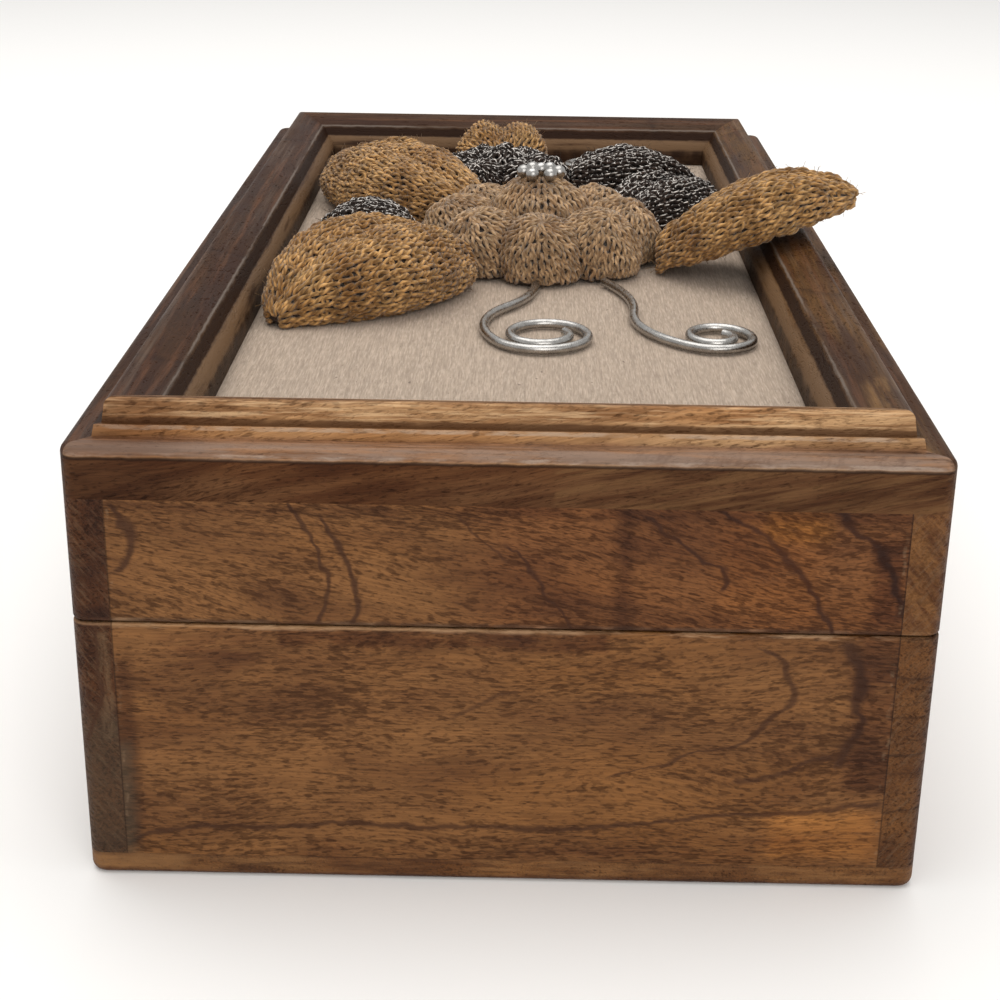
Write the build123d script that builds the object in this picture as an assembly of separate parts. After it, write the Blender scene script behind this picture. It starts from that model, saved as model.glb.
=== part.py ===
from build123d import *
import os
from collections import namedtuple
from math import cos, hypot, pi, radians, sin, sqrt

# Wooden keepsake box with a picture-frame lid and a knitted spray on its linen panel.
# Millimetres, +Z up. The origin is the centre of the underside. The short front end faces -Y,
# and the lid is hinged along the left long side, at -X.

# Box
box_width = 150.0
box_length = 292.0
base_height = 50.6
lid_wall_height = 22.6
wall = 7.0
bottom_thickness = 4.5
corner_radius = 3.0
bottom_round = 1.6
eased_edge = 0.5
seam_gap = 0.3

# Frame moulding, as distances in from its outer edge and heights above its underside
rail_thickness = 9.5
rail_roundover = 1.8
flat_width = 4.9
lower_riser_width = 0.4
lower_riser = 2.0
ledge_width = 1.1
upper_riser_width = 0.5
upper_riser = 3.2
crest_round_width = 1.5
crest_round_rise = 0.9
crest_round_full_at = 0.32
crest_round_full = 0.74
fall_width = 6.9
fall_drop = 2.7
fall_belly = 0.3
inner_drop_width = 1.6
inner_drop = 2.5
slope_width = 2.2
slope_drop = 4.3
slope_full_at = 0.62
slope_full = 0.34
rabbet_width = 6.0
lip_height = 3.4

# Linen panel and its backing
panel_board_thickness = 2.0
linen_thickness = 0.6
linen_turn_under = 12.0
linen_crown = 1.0
crown_corner = 7.0
crown_round = 0.9
crown_clear = 0.8
panel_fit = 0.4
backing_thickness = 3.0
backing_fit = 0.3

# Brads that hold the backing board
brad_radius = 0.6
brad_head_radius = 1.2
brad_head_thickness = 0.5
brad_depth = 5.0
brad_from_wall = 3.0
side_brads = 5
end_brads = 2

# Butt hinges
hinge_length = 28.0
hinge_spacing = 176.0
leaf_width = 5.6
leaf_thickness = 0.8
knuckle_radius = 1.7
knuckle_off_wall = 0.25
knuckle_gap = 0.15
mortise_fit = 0.1
hinge_pin_radius = 0.8
hinge_pin_head_radius = 1.2
hinge_pin_head = 0.6
screw_spacing = 16.0
screw_from_face = 3.2
screw_head_radius = 1.5
screw_radius = 0.75
screw_length = 9.0
screw_point = 1.6
hole_fit = 0.05

# Knitted spray: two rosettes on a stem, with leaves that point away from them
soft_gap = 0.3
spray_margin = 5.0
stem_radius = 3.5
stem_flat = 0.8
bead_radius = 1.6
bead_ring_radius = 4.2
bead_count = 6

Rosette = namedtuple("Rosette", "x y petals petal ring petal_height button button_height")
large_rosette = Rosette(6.0, 5.0, 8, 10.5, 18.5, 4.5, 13.0, 7.0)
small_rosette = Rosette(-4.0, 78.0, 6, 7.5, 11.0, 3.5, 8.0, 5.0)

# Heading in degrees from +X, bend in degrees, greatest width and greatest height
Leaf = namedtuple("Leaf", "heading bend width height")
front_left_leaf = Leaf(228.0, 16.0, 37.0, 17.0)
left_leaf = Leaf(178.0, -14.0, 24.0, 13.0)
back_left_leaf = Leaf(126.0, -16.0, 34.0, 17.0)
back_right_leaf = Leaf(46.0, 14.0, 28.0, 14.0)
bud_left_leaf = Leaf(150.0, -12.0, 20.0, 11.0)
bud_right_leaf = Leaf(8.0, 12.0, 22.0, 12.0)
back_leaf = Leaf(92.0, 10.0, 26.0, 14.0)
rail_leaf = Leaf(344.0, 0.0, 31.0, 14.0)
rail_leaf_overhang = 3.0

# A leaf's swelling along its length and its section, as shares
section_count = 7
swell_start_share = 0.12
swell_end_share = 0.98
width_power = 0.8
height_power = 0.6
foot_share = 0.7
side_rise_share = 0.34
shoulder_share = 0.86
shoulder_rise_share = 0.7
ridge_share = 0.46
crease_rise_share = 0.84

# Wire scrolls: where they leave a rosette, two stem arcs as radius and turn, and the curl
wire_radius = 1.0
curl_step = 2.0
curl_turns = 3
arc_steps = 12
Scroll = namedtuple("Scroll", "rosette heading stem curl")
front_scroll = Scroll(large_rosette, 268.0, [(34.0, -34.0), (24.0, 66.0)], 10.0)
right_scroll = Scroll(large_rosette, 300.0, [(40.0, -36.0), (24.0, 62.0)], 8.0)
back_scroll = Scroll(small_rosette, 52.0, [(24.0, -30.0), (20.0, 40.0)], 7.0)

# Levels and outlines that follow from the sizes above
half_width = box_width / 2
half_length = box_length / 2
lid_bottom = base_height + seam_gap
rail_bottom = lid_bottom + lid_wall_height
rail_top = rail_bottom + rail_thickness
ledge_in = flat_width + lower_riser_width
upper_riser_in = ledge_in + ledge_width
crest_round_in = upper_riser_in + upper_riser_width
crest_in = crest_round_in + crest_round_width
arris_in = crest_in + fall_width
sight_in = arris_in + inner_drop_width + slope_width
crest_rise = lower_riser + upper_riser + crest_round_rise
crest_top = rail_top + crest_rise
rabbet_in = sight_in - rabbet_width
panel_bottom = rail_bottom
linen_flat = panel_bottom + panel_board_thickness + 2 * linen_thickness
linen_top = linen_flat + linen_crown
sight_half_width = half_width - sight_in
sight_half_length = half_length - sight_in
past_faces = corner_radius
axis_x = -half_width - knuckle_off_wall - knuckle_radius
axis_z = base_height + seam_gap / 2
spray_floor = linen_top + soft_gap


def plan_prism(width, length, radius, z_low, z_high):
    outline = RectangleRounded(width, length, radius) if radius else Rectangle(width, length)
    return Pos(0, 0, z_low) * extrude(outline, z_high - z_low)


def block(x_low, x_high, y_low, y_high, z_low, z_high):
    centre = Pos((x_low + x_high) / 2, (y_low + y_high) / 2, (z_low + z_high) / 2)
    return centre * Box(x_high - x_low, y_high - y_low, z_high - z_low)


def wall_ring(z_low, z_high, eased_level):
    outer = plan_prism(box_width, box_length, corner_radius, z_low, z_high)
    outer = fillet(outer.edges().group_by(Axis.Z)[eased_level], eased_edge)
    hollow = plan_prism(box_width - 2 * wall, box_length - 2 * wall, 0, z_low, z_high)
    return outer - hollow


# The side boards run the full length, and the end boards fit between them.
def four_boards(prefix, ring, z_low, z_high):
    inside = half_width - wall
    reach = half_length - wall
    side_far = half_width + past_faces
    end_far = half_length + past_faces
    return {
        f"{prefix}_front_board": ring & block(-inside, inside, -end_far, -reach, z_low, z_high),
        f"{prefix}_back_board": ring & block(-inside, inside, reach, end_far, z_low, z_high),
        f"{prefix}_left_board": ring & block(-side_far, -inside, -end_far, end_far, z_low, z_high),
        f"{prefix}_right_board": ring & block(inside, side_far, -end_far, end_far, z_low, z_high),
    }


def bottom_board():
    board = plan_prism(box_width, box_length, corner_radius, 0, bottom_thickness)
    return fillet(board.edges().group_by(Axis.Z)[0], bottom_round)


# The moulding in section: flat, two risers, crest, long fall, drop, inner slope and rabbet.
def rail_section():
    flat = rail_thickness
    ledge = flat + lower_riser
    round_start = (crest_round_in, ledge + upper_riser)
    round_middle_in = crest_round_in + crest_round_width * crest_round_full_at
    round_middle = (round_middle_in, round_start[1] + crest_round_rise * crest_round_full)
    crest = (crest_in, flat + crest_rise)
    arris = (arris_in, crest[1] - fall_drop)
    fall_middle = (crest_in + fall_width / 2, crest[1] - fall_drop / 2 + fall_belly)
    slope_start = (arris_in + inner_drop_width, arris[1] - inner_drop)
    slope_end = (sight_in, slope_start[1] - slope_drop)
    slope_middle = (slope_start[0] + slope_width * slope_full_at, slope_start[1] - slope_drop * slope_full)
    outer_side = Polyline(
        (0, 0),
        (0, flat),
        (flat_width, flat),
        (ledge_in, ledge),
        (upper_riser_in, ledge),
        round_start,
    )
    rabbet = Polyline(
        slope_end,
        (sight_in, lip_height),
        (rabbet_in, lip_height),
        (rabbet_in, 0),
        (0, 0),
    )
    crest_arc = ThreePointArc(round_start, round_middle, crest)
    fall_arc = ThreePointArc(crest, fall_middle, arris)
    slope_arc = ThreePointArc(slope_start, slope_middle, slope_end)
    return make_face([outer_side, crest_arc, fall_arc, Line(arris, slope_start), slope_arc, rabbet])


# The wedge of plan between two mitres, for the side at -Y, drawn past the outside by a margin.
def mitre_wedge(run, reach, outside, inside):
    plan = Polyline(
        (-run / 2 - outside, -reach - outside),
        (run / 2 + outside, -reach - outside),
        (run / 2 - inside, inside - reach),
        (inside - run / 2, inside - reach),
        close=True,
    )
    return extrude(make_face(plan), rail_thickness + crest_rise)


def on_outer_edge(edge):
    place = edge.center()
    return max(abs(place.X) - half_width, abs(place.Y) - half_length) > -corner_radius


# The four rails are moulded, mitred and rounded together, and parted again at the mitres.
def frame_rails():
    sides = {
        "frame_front_rail": (box_width, half_length, 0),
        "frame_right_rail": (box_length, half_width, 90),
        "frame_back_rail": (box_width, half_length, 180),
        "frame_left_rail": (box_length, half_width, 270),
    }
    bars = []
    for run, reach, turn in sides.values():
        start = Plane(origin=(-run / 2, -reach, 0), x_dir=(0, 1, 0), z_dir=(1, 0, 0))
        bar = extrude(start * rail_section(), run) & mitre_wedge(run, reach, 0, sight_in)
        bars.append(Rot(0, 0, turn) * bar)
    frame = bars[0] + bars[1:]
    corners = frame.edges().filter_by(Axis.Z).filter_by(on_outer_edge)
    frame = fillet(corners, corner_radius)
    top_edges = frame.edges().filter_by(on_outer_edge)
    top_edges = top_edges.filter_by(lambda edge: abs(edge.center().Z - rail_thickness) < hole_fit)
    frame = fillet(top_edges, rail_roundover)
    rails = {}
    for name, (run, reach, turn) in sides.items():
        wedge = Rot(0, 0, turn) * mitre_wedge(run, reach, past_faces, sight_in + past_faces)
        rails[name] = Pos(0, 0, rail_bottom) * (frame & wedge)
    return rails


def panel_size(inset):
    width = box_width - 2 * (rabbet_in + panel_fit + inset)
    return width, width + box_length - box_width


def panel_board():
    low = panel_bottom + linen_thickness
    return plan_prism(*panel_size(linen_thickness), 0, low, low + panel_board_thickness)


# Linen over the board's face and edges, turned under all round, with a soft crown in the opening.
def linen_cover(board):
    cover = plan_prism(*panel_size(0), 0, panel_bottom, linen_flat)
    window = plan_prism(*panel_size(linen_turn_under), 0, panel_bottom, linen_flat - linen_thickness)
    crown_width = 2 * (sight_half_width - crown_clear)
    crown_length = 2 * (sight_half_length - crown_clear)
    crown = plan_prism(crown_width, crown_length, crown_corner, linen_flat, linen_top)
    crown = fillet(crown.edges().group_by(Axis.Z)[-1], min(crown_round, 0.95 * linen_crown))
    return cover - window - board + crown


def brad_places():
    side_in = half_width - wall - brad_from_wall
    end_in = half_length - wall - brad_from_wall
    side_step = 2 * end_in / (side_brads + 1)
    end_step = 2 * side_in / (end_brads + 1)
    places = []
    for side in (-1, 1):
        for i in range(side_brads):
            places.append((side * side_in, -end_in + side_step * (i + 1)))
        for i in range(end_brads):
            places.append((-side_in + end_step * (i + 1), side * end_in))
    return places


def brad(x, y):
    head_low = rail_bottom - backing_thickness - brad_head_thickness
    shank = Pos(x, y, head_low) * extrude(
        Circle(brad_radius), brad_head_thickness + backing_thickness + brad_depth
    )
    return Pos(x, y, head_low) * extrude(Circle(brad_head_radius), brad_head_thickness) + shank


def brad_hole(x, y):
    depth = backing_thickness + brad_depth + soft_gap
    low = rail_bottom - backing_thickness
    return Pos(x, y, low) * extrude(Circle(brad_radius + hole_fit), depth)


def backing_board():
    width = box_width - 2 * (wall + backing_fit)
    length = box_length - 2 * (wall + backing_fit)
    return plan_prism(width, length, 0, rail_bottom - backing_thickness, rail_bottom)


# One screw, standing on its point along -Z with its flat head at the origin.
def screw(extra):
    head = screw_head_radius + extra
    shank = screw_radius + extra
    neck = -leaf_thickness
    end = -screw_length - extra
    outline = Polyline(
        (0, 0), (head, 0), (shank, neck), (shank, end + screw_point), (0, end), close=True
    )
    return revolve(Plane.XZ * make_face(outline), Axis.Z)


def screw_places(y):
    x = screw_from_face - half_width
    return [(x, y - screw_spacing / 2), (x, y + screw_spacing / 2)]


# Screws of one leaf: down into the base, or up into the lid.
def leaf_screws(y, upward, extra=0.0):
    level = lid_bottom if upward else base_height
    turn = 180 if upward else 0
    return [Pos(px, py, level) * Rot(turn, 0, 0) * screw(extra) for px, py in screw_places(y)]


# The lid leaf holds the middle knuckle and the base leaf the two outer ones.
def hinge_leaf(y, upward):
    low = lid_bottom if upward else base_height - leaf_thickness
    plate = block(
        axis_x, leaf_width - half_width, -hinge_length / 2, hinge_length / 2, low, low + leaf_thickness
    )
    barrel = Pos(axis_x, hinge_length / 2, axis_z) * Rot(90, 0, 0) * extrude(
        Circle(knuckle_radius), hinge_length
    )
    bore = Pos(axis_x, hinge_length / 2, axis_z) * Rot(90, 0, 0) * extrude(
        Circle(hinge_pin_radius + hole_fit), hinge_length
    )
    third = hinge_length / 6
    spans = [(-third - knuckle_gap, third + knuckle_gap)]
    if upward:
        spans = [(-hinge_length / 2, -third), (third, hinge_length / 2)]
    leaf = plate + barrel - bore
    clear = knuckle_radius + knuckle_gap
    for start, end in spans:
        leaf -= block(axis_x - clear, axis_x + clear, start, end, axis_z - clear, axis_z + clear)
    leaf = Pos(0, y, 0) * leaf
    for hole in leaf_screws(y, upward, hole_fit):
        leaf -= hole
    return leaf


def hinge_pin(y):
    shank = extrude(Circle(hinge_pin_radius), hinge_length)
    head = extrude(Circle(hinge_pin_head_radius), hinge_pin_head)
    pin = shank + Pos(0, 0, hinge_length) * head + Pos(0, 0, -hinge_pin_head) * head
    return Pos(axis_x, y + hinge_length / 2, axis_z) * Rot(90, 0, 0) * pin


def mortise(y, upward):
    low = lid_bottom - soft_gap if upward else base_height - leaf_thickness
    high = lid_bottom + leaf_thickness if upward else base_height + soft_gap
    half = hinge_length / 2 + mortise_fit
    inside = leaf_width + mortise_fit - half_width
    return block(-half_width - wall, inside, y - half, y + half, low, high)


# How far a leaf has swelled at a share of its length, from 0 to 1.
def swell(share, power):
    return sin(pi * (swell_start_share + (swell_end_share - swell_start_share) * share)) ** power


# A point along a leaf's spine in plan, with its heading there. The spine is one arc.
def spine_point(start, heading, bend, length, share):
    first = radians(heading - bend / 2)
    turned = radians(bend) * share
    if bend == 0:
        return start[0] + length * share * cos(first), start[1] + length * share * sin(first), first
    radius = length / radians(bend)
    x = start[0] + radius * (sin(first + turned) - sin(first))
    y = start[1] - radius * (cos(first + turned) - cos(first))
    return x, y, first + turned


# A stuffed leaf in section: flat below, drawn in at the sides, with a sewn crease along its top.
def leaf_section(half, height):
    foot = half * foot_share
    side = (half, height * side_rise_share)
    shoulder = (half * shoulder_share, height * shoulder_rise_share)
    ridge = (half * ridge_share, height)
    crease = (0, height * crease_rise_share)
    right = [
        ThreePointArc((foot, 0), side, shoulder),
        ThreePointArc(shoulder, ridge, crease),
    ]
    left = [edge.mirror(Plane.YZ) for edge in right]
    return make_face([Line((-foot, 0), (foot, 0))] + right + left)


def knitted_leaf(start, leaf, length, climb=0.0):
    sections = []
    for i in range(section_count):
        share = i / (section_count - 1)
        x, y, way = spine_point(start, leaf.heading, leaf.bend, length, share)
        half = leaf.width / 2 * swell(share, width_power)
        face = leaf_section(half, leaf.height * swell(share, height_power))
        level = spray_floor + climb * length * share
        across = (-sin(way), cos(way), 0)
        plane = Plane(origin=(x, y, level), x_dir=across, z_dir=(cos(way), sin(way), 0))
        sections.append(plane * face)
    return loft(sections)


def rosette_edge(rosette, heading):
    reach = rosette.ring + rosette.petal + soft_gap
    return rosette.x + reach * cos(radians(heading)), rosette.y + reach * sin(radians(heading))


# A leaf from a rosette whose tip stops a margin short of the frame's long side.
def side_leaf(rosette, leaf):
    start = rosette_edge(rosette, leaf.heading)
    run = cos(radians(leaf.heading))
    tip_x = (sight_half_width - spray_margin) * (1 if run > 0 else -1)
    return knitted_leaf(start, leaf, (tip_x - start[0]) / run)


# The leaf whose tip stops a margin short of the frame's back end.
def end_leaf(rosette, leaf):
    start = rosette_edge(rosette, leaf.heading)
    length = (sight_half_length - spray_margin - start[1]) / sin(radians(leaf.heading))
    return knitted_leaf(start, leaf, length)


# The leaf that leans on the right rail: its underside clears the crest over its whole width.
def leaf_over_rail(rosette, leaf):
    start = rosette_edge(rosette, leaf.heading)
    run = cos(radians(leaf.heading))
    length = (half_width + rail_leaf_overhang - start[0]) / run
    crest_inner = half_width - crest_in - inner_drop_width
    skew = leaf.width / 2 * abs(sin(radians(leaf.heading)))
    climb = (crest_top + soft_gap - spray_floor) * run / (crest_inner - start[0] - skew)
    return knitted_leaf(start, leaf, length, climb)


def above_linen(solid, x, y, reach):
    return Pos(x, y, spray_floor) * (solid & block(-reach, reach, -reach, reach, 0, reach))


# Plump petals round a button, flat below.
def knit_rosette(rosette):
    flower = Pos(0, 0, rosette.button_height) * Sphere(rosette.button)
    petal = Pos(rosette.ring, 0, rosette.petal_height) * Sphere(rosette.petal)
    for i in range(rosette.petals):
        flower += Rot(0, 0, 360 / rosette.petals * i) * petal
    return above_linen(flower, rosette.x, rosette.y, rosette.ring + rosette.petal + soft_gap)


# The knitted stem lies between the two rosettes, on a slightly flattened underside.
def knit_stem(near, far):
    across = far.x - near.x
    along = far.y - near.y
    apart = hypot(across, along)
    near_reach = near.ring + near.petal + soft_gap
    far_reach = far.ring + far.petal + soft_gap
    way = (across / apart, along / apart)
    start = (near.x + way[0] * near_reach, near.y + way[1] * near_reach, spray_floor + stem_radius)
    round_stem = Plane(origin=start, z_dir=(*way, 0)) * extrude(
        Circle(stem_radius), apart - near_reach - far_reach
    )
    cut = plan_prism(box_width, box_length, 0, spray_floor, spray_floor + stem_flat)
    return Pos(0, 0, -stem_flat) * (round_stem - cut)


# One bead on top of the button and a ring round it, each resting on the button's dome.
def rosette_beads(rosette):
    reach = rosette.button + bead_radius + hole_fit
    dome_z = spray_floor + rosette.button_height
    beads = [Pos(rosette.x, rosette.y, dome_z + reach) * Sphere(bead_radius)]
    ring_z = dome_z + sqrt(reach**2 - bead_ring_radius**2)
    for i in range(bead_count):
        turn = 2 * pi * i / bead_count
        x = rosette.x + bead_ring_radius * cos(turn)
        y = rosette.y + bead_ring_radius * sin(turn)
        beads.append(Pos(x, y, ring_z) * Sphere(bead_radius))
    return beads


# Tangent arcs in plan, each a radius and a turn in degrees, where a left turn is positive.
def scroll_path(start, heading, arcs):
    x, y = start
    way = radians(heading)
    edges = []
    points = []
    for radius, turn in arcs:
        side = 1 if turn > 0 else -1
        centre_x = x - side * radius * sin(way)
        centre_y = y + side * radius * cos(way)
        ways = [way + radians(turn) * i / arc_steps for i in range(arc_steps + 1)]
        run = [(centre_x + side * radius * sin(a), centre_y - side * radius * cos(a)) for a in ways]
        edges.append(ThreePointArc(run[0], run[arc_steps // 2], run[-1]))
        points += run[1:]
        x, y = run[-1]
        way = ways[-1]
    return edges, points


# The least distance between the wire's surfaces where it passes itself, past a quarter turn on.
def least_gap(points):
    apart = []
    for i, a in enumerate(points):
        for b in points[i + arc_steps // 2 + 2 :]:
            apart.append(hypot(a[0] - b[0], a[1] - b[1]) - 2 * wire_radius)
    return min(apart)


# The curl at a scroll's end, half a turn at a time, each tighter than the last.
def curl_arcs(scroll):
    return [(scroll.curl - curl_step * i, 180.0) for i in range(curl_turns)]


# A scroll whose stem reaches just so far that its curl stops a margin short of the long side.
def scroll_to_side(scroll):
    start = rosette_edge(scroll.rosette, scroll.heading)
    points = scroll_path(start, scroll.heading, scroll.stem + curl_arcs(scroll))[1]
    stem_end = points[arc_steps * len(scroll.stem) - 1]
    room = sight_half_width - spray_margin - wire_radius - max(x for x, y in points)
    growth = 1 + room / (stem_end[0] - start[0])
    return scroll._replace(stem=[(radius * growth, turn) for radius, turn in scroll.stem])


# A wire scroll lies on the linen, starts at a rosette's edge and curls up at its far end.
def wire_scroll(name, scroll):
    start = rosette_edge(scroll.rosette, scroll.heading)
    edges, points = scroll_path(start, scroll.heading, scroll.stem + curl_arcs(scroll))
    print(f"{name}: least gap to itself {least_gap(points):.2f} mm")
    way = radians(scroll.heading)
    section = Plane(origin=(*start, 0), z_dir=(cos(way), sin(way), 0)) * Circle(wire_radius)
    return Pos(0, 0, spray_floor + wire_radius) * sweep(section, Wire(edges))


def spray():
    nodes = {
        "knit_rosette": knit_rosette(large_rosette),
        "knit_bud": knit_rosette(small_rosette),
        "knit_stem": knit_stem(large_rosette, small_rosette),
        "rosette_beads": rosette_beads(large_rosette),
        "leaf_front_left": side_leaf(large_rosette, front_left_leaf),
        "leaf_left": side_leaf(large_rosette, left_leaf),
        "leaf_back_left": side_leaf(large_rosette, back_left_leaf),
        "leaf_back_right": side_leaf(large_rosette, back_right_leaf),
        "leaf_over_rail": leaf_over_rail(large_rosette, rail_leaf),
        "leaf_bud_left": side_leaf(small_rosette, bud_left_leaf),
        "leaf_bud_right": side_leaf(small_rosette, bud_right_leaf),
        "leaf_back": end_leaf(small_rosette, back_leaf),
    }
    scrolls = {"front": front_scroll, "right": scroll_to_side(right_scroll), "back": back_scroll}
    for name, scroll in scrolls.items():
        nodes[f"wire_scroll_{name}"] = wire_scroll(f"wire_scroll_{name}", scroll)
    return nodes


def covers(solid, x, y):
    box = solid.bounding_box()
    return box.min.X < x < box.max.X and box.min.Y < y < box.max.Y


# Each brad goes through the backing board into the rail above it.
def brads_with_holes(nodes):
    for x, y in brad_places():
        for name in nodes:
            if name == "backing_board" or name.startswith("frame_") and covers(nodes[name], x, y):
                nodes[name] -= brad_hole(x, y)
    return [brad(x, y) for x, y in brad_places()]


def hinges_with_mortises(nodes):
    parts = {"base_hinge_screws": [], "lid_hinge_screws": []}
    for place, y in (("front", -hinge_spacing / 2), ("back", hinge_spacing / 2)):
        parts[f"hinge_{place}_pin"] = hinge_pin(y)
        for body, upward in (("base", False), ("lid", True)):
            parts[f"hinge_{place}_{body}_leaf"] = hinge_leaf(y, upward)
            parts[f"{body}_hinge_screws"] += leaf_screws(y, upward)
            nodes[f"{body}_left_board"] -= mortise(y, upward)
            for hole in leaf_screws(y, upward, hole_fit):
                nodes[f"{body}_left_board"] -= hole
    return parts


def build():
    nodes = {"bottom_board": bottom_board()}
    base_ring = wall_ring(bottom_thickness, base_height, -1)
    lid_ring = wall_ring(lid_bottom, rail_bottom, 0)
    nodes.update(four_boards("base", base_ring, bottom_thickness, base_height))
    nodes.update(four_boards("lid", lid_ring, lid_bottom, rail_bottom))
    nodes.update(frame_rails())
    nodes["panel_board"] = panel_board()
    nodes["linen_cover"] = linen_cover(nodes["panel_board"])
    nodes["backing_board"] = backing_board()
    nodes["backing_pins"] = brads_with_holes(nodes)
    nodes.update(hinges_with_mortises(nodes))
    nodes.update(spray())
    return nodes


def write(nodes):
    os.makedirs("parts", exist_ok=True)
    for name, shape in nodes.items():
        pieces = shape if isinstance(shape, list) else [shape]
        solids = [solid for piece in pieces for solid in piece.solids()]
        export_step(Compound(children=solids) if len(solids) > 1 else solids[0], f"parts/{name}.step")


write(build())
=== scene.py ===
import random
from math import cos, hypot, pi, radians, sin, sqrt

import bpy
from mathutils import Matrix, Vector
from mathutils.bvhtree import BVHTree


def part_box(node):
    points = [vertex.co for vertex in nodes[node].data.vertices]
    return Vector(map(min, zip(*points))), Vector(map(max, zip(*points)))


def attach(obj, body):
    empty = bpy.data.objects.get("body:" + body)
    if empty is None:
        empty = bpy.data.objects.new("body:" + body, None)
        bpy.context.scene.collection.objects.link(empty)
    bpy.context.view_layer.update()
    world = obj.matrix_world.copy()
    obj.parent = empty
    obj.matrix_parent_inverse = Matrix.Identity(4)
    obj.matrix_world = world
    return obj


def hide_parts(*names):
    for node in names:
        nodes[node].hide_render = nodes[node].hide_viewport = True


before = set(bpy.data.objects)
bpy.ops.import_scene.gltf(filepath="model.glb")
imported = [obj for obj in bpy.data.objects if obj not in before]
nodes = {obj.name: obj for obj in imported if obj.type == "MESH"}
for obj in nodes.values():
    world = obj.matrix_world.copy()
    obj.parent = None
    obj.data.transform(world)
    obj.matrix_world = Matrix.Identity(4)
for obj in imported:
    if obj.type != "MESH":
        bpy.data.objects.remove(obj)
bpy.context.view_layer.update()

mm = 0.001
upwards = Vector((0, 0, 1))
halfWidth = -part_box("base_left_board")[0].x / mm
halfLength = -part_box("base_front_board")[0].y / mm

print("stage: frame loaded")


# Helpers for shader trees: an input takes a plain value or another node's output
def fill(node, inputs):
    for name, value in inputs.items():
        socket = node.inputs[name]
        if isinstance(value, bpy.types.NodeSocket):
            node.id_data.links.new(value, socket)
        else:
            socket.default_value = (*value, 1) if socket.type == "RGBA" else value
    return node


def addNode(tree, kind, inputs, **settings):
    node = tree.nodes.new(f"ShaderNode{kind}")
    for name, value in settings.items():
        setattr(node, name, value)
    return fill(node, inputs)


def treeOf(*values):
    return next(value.id_data for value in values if isinstance(value, bpy.types.NodeSocket))


def calc(operation, *values, clamp=False):
    return addNode(treeOf(*values), "Math", dict(enumerate(values)),
                   operation=operation, use_clamp=clamp).outputs[0]


def add(*values):
    return calc("ADD", *values)


def subtract(*values):
    return calc("SUBTRACT", *values)


def multiply(*values):
    return calc("MULTIPLY", *values)


def vectorCalc(operation, inputs):
    return addNode(treeOf(*inputs.values()), "VectorMath", inputs, operation=operation).outputs[0]


def scaled(vector, scale):
    return vectorCalc("SCALE", {0: vector, 3: scale})


def split(vector):
    return addNode(vector.id_data, "SeparateXYZ", {0: vector}).outputs


def spread(value, low, high, toLow=0, toHigh=1, kind="SMOOTHSTEP"):
    return addNode(value.id_data, "MapRange", {
        "Value": value, "From Min": low, "From Max": high, "To Min": toLow, "To Max": toHigh,
    }, interpolation_type=kind).outputs["Result"]


def spreadLinear(*values):
    return spread(*values, kind="LINEAR")


def mix(share, first, second, kind="MIX"):
    return addNode(treeOf(share, first, second), "Mix", {0: share, 6: first, 7: second},
                   data_type="RGBA", blend_type=kind).outputs[2]


def noise(place, scale, detail=2, roughness=0.5):
    if isinstance(scale, tuple):
        place, scale = vectorCalc("MULTIPLY", {0: place, 1: scale}), 1
    return addNode(place.id_data, "TexNoise", {
        "Vector": place, "Scale": scale, "Detail": detail, "Roughness": roughness,
    }).outputs["Fac"]


def bump(height, distance, strength):
    return addNode(height.id_data, "Bump", {
        "Height": height, "Strength": strength, "Distance": distance}).outputs["Normal"]


def newGroup(name, inputs, outputs):
    tree = bpy.data.node_groups.new(name, "ShaderNodeTree")
    for way, sockets in (("INPUT", inputs), ("OUTPUT", outputs)):
        for kind, labels in sockets.items():
            for label in labels:
                tree.interface.new_socket(label, in_out=way, socket_type=f"NodeSocket{kind}")
    given = tree.nodes.new("NodeGroupInput").outputs
    return tree, given, tree.nodes.new("NodeGroupOutput")


def useGroup(tree, group, inputs):
    return addNode(tree, "Group", inputs, node_tree=group).outputs


def newMaterial(name):
    material = bpy.data.materials.new(name)
    material.use_nodes = True
    return material, material.node_tree, material.node_tree.nodes["Principled BSDF"]


# Object coordinates in millimetres, turned and shifted to suit the piece
def millimetres(tree, turn=(0, 0, 0), shift=(0, 0, 0)):
    place = tree.nodes.new("ShaderNodeTexCoord").outputs["Object"]
    return addNode(tree, "Mapping", {
        "Vector": place, "Scale": (1 / mm,) * 3, "Rotation": turn, "Location": shift,
    }).outputs["Vector"]


def dress(names, material):
    for name in names:
        nodes[name].data.materials.clear()
        nodes[name].data.materials.append(material)


def addObject(name, data):
    thing = bpy.data.objects.new(name, data)
    bpy.context.scene.collection.objects.link(thing)
    return thing


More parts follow.
